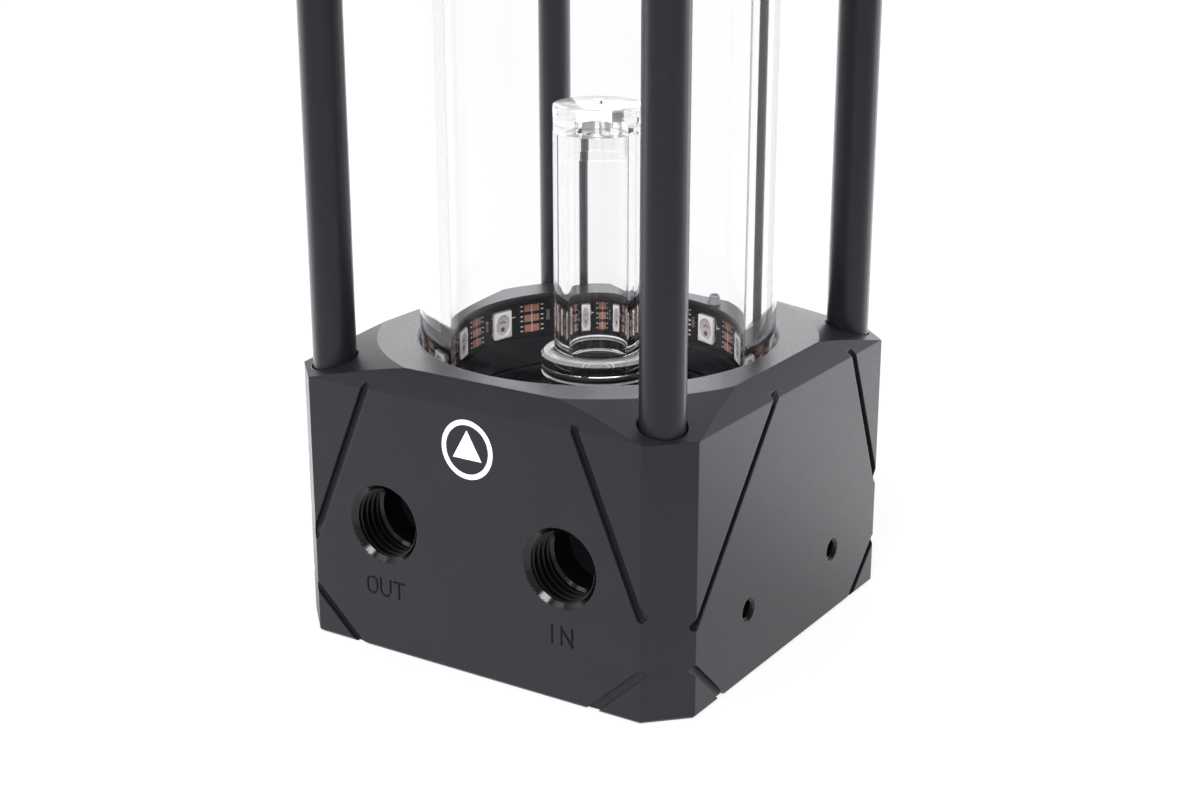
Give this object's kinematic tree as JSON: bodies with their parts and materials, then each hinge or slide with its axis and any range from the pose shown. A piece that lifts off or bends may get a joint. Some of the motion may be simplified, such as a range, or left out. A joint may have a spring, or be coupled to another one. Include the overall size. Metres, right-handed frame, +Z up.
{
  "type": "coolant pump reservoir",
  "caption": "Compact liquid-cooling pump block with a clear tube reservoir, central riser pipe, support rods and a plugged top cap.",
  "frame": {"origin": "bottom centre of the pump block, on the surface that it stands on", "axes": "+Z up along the reservoir tube, -Y out of the two front ports, +X out of the bracket holes"},
  "size_m": [0.076, 0.076, 0.174],
  "materials": {
    "black_acetal": "fine milled satin",
    "black_rod": "turned satin",
    "white_print": "flat print",
    "plate_aluminium": "brushed",
    "screw_steel": "blackened",
    "black_rubber": "moulded",
    "grey_rubber": "moulded",
    "pump_plastic": "moulded",
    "impeller_plastic": "moulded",
    "ceramic": "ground",
    "carbon_bush": "turned",
    "ferrite_magnet": "ground",
    "lamination_steel": "stamped",
    "copper_winding": "enamelled wire",
    "circuit_board": "solder mask",
    "board_part": "moulded",
    "floor_plastic": "polished",
    "clear_acrylic": "polished",
    "light_board": "black flexible board",
    "light_chip": "moulded with clear fill",
    "copper_pad": "bare copper"
  },
  "bodies": {
    "housing": {"base_plate": "plate_aluminium", "base_plate_screws": "screw_steel", "board_components": "board_part", "can_screws": "screw_steel", "can_seal": "black_rubber", "control_board": "circuit_board", "flow_plate": "floor_plastic", "flow_plate_seal": "black_rubber", "led_chips": "light_chip", "led_grommet": "grey_rubber", "led_pads": "copper_pad", "led_strip": "light_board", "lower_rod_screws": "screw_steel", "lower_tube_seal": "black_rubber", "power_grommet": "black_rubber", "pump_block": "black_acetal", "reservoir_tube": "clear_acrylic", "riser_cap": "clear_acrylic", "riser_collar_seal": "black_rubber", "riser_pipe": "clear_acrylic", "riser_socket_seal": "black_rubber", "rotor_shaft": "ceramic", "separation_can": "pump_plastic", "shaft_clip": "screw_steel", "stator_coils": "copper_winding", "stator_core": "lamination_steel", "support_rod_back_left": "black_rod", "support_rod_back_right": "black_rod", "support_rod_front_left": "black_rod", "support_rod_front_right": "black_rod", "symbol_inlay": "white_print", "thrust_washer": "ceramic", "top_cap": "black_acetal", "upper_rod_screws": "screw_steel", "upper_tube_seal": "black_rubber", "volute_cover": "pump_plastic", "volute_cover_screws": "screw_steel"},
    "rotor": {"impeller": "impeller_plastic", "rotor_bush": "carbon_bush", "rotor_magnet": "ferrite_magnet"},
    "fill_plug_body": {"fill_plug": "black_acetal", "fill_plug_seal": "black_rubber"},
    "spare_plug_body": {"spare_plug": "black_acetal", "spare_plug_seal": "black_rubber"}
  },
  "joints": [
    {"name": "rotor_spin", "type": "hinge", "parent": "housing", "child": "rotor", "pos_m": [0, 0, 0.012], "axis": [0, 0, 1], "continuous": true},
    {"name": "fill_plug_lift", "type": "slide", "parent": "housing", "child": "fill_plug_body", "axis": [0, 0, 1], "range_m": [0, 0.03]},
    {"name": "spare_plug_lift", "type": "slide", "parent": "housing", "child": "spare_plug_body", "axis": [0, 0, 1], "range_m": [0, 0.03]}
  ]
}
